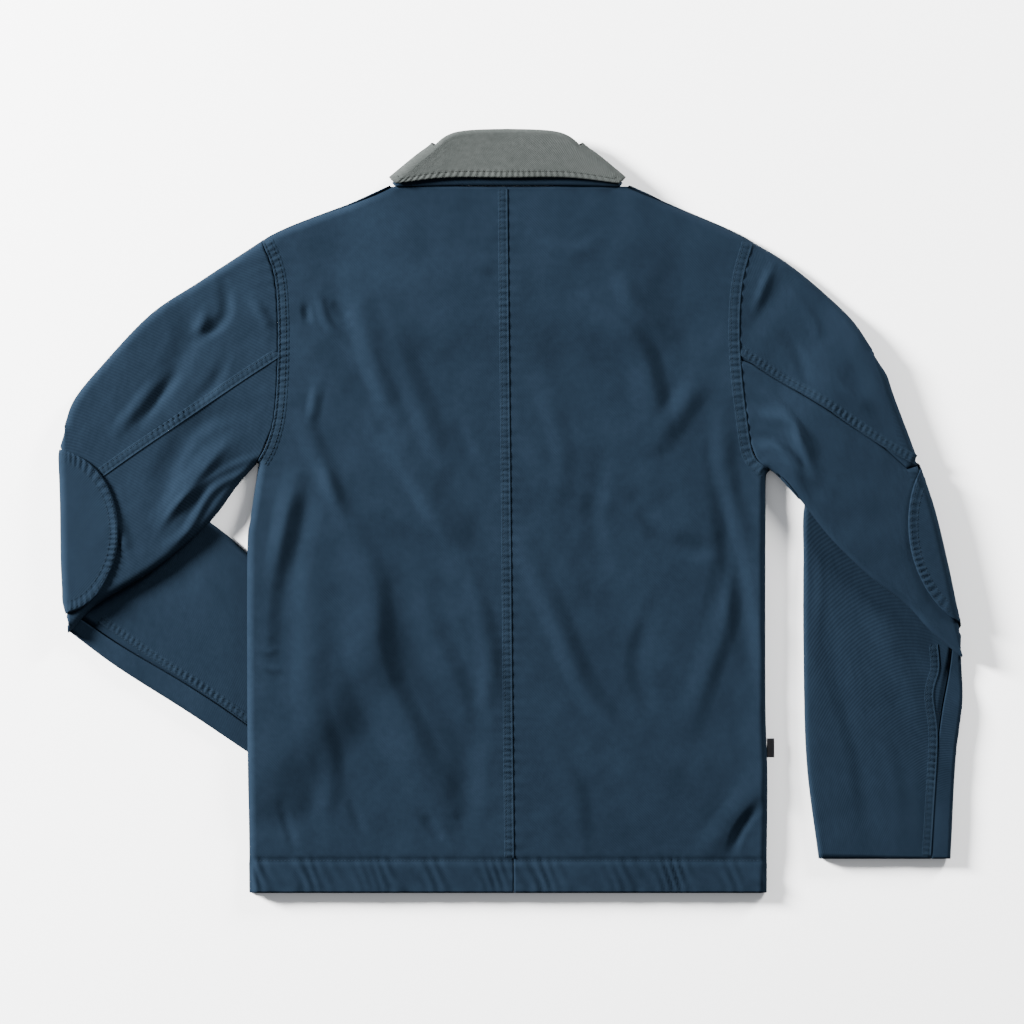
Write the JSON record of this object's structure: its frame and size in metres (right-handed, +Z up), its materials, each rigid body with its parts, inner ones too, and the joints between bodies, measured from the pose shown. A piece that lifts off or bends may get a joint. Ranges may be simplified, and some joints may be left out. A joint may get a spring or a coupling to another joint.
{
  "type": "jacket",
  "caption": "Hip-length unlined deck jacket in heavy navy cotton twill with a grey collar and elbow patches, laid flat with its back up and its sleeves folded under.",
  "frame": {"origin": "centre of the bounding box's foot, on the surface the jacket lies on", "axes": "+X to the right across the back as seen from above, +Y from the hem towards the collar, +Z up from the surface out of the back"},
  "size_m": [0.8664, 0.7314, 0.0201],
  "materials": {
    "navy_twill": "matte",
    "grey_canvas": "matte",
    "black_tape": "matte",
    "dark_button": "satin"
  },
  "bodies": {
    "root": {"back_left": "navy_twill", "back_right": "navy_twill", "front_left": "navy_twill", "front_right": "navy_twill", "left_sleeve_top": "navy_twill", "left_sleeve_under": "navy_twill", "right_sleeve_top": "navy_twill", "right_sleeve_under": "navy_twill", "left_elbow_patch": "navy_twill", "right_elbow_patch": "navy_twill", "collar_top": "grey_canvas", "collar_under": "navy_twill", "side_label": "black_tape", "button_1": "dark_button", "button_2": "dark_button", "button_3": "dark_button", "button_4": "dark_button", "button_5": "dark_button"}
  },
  "joints": []
}
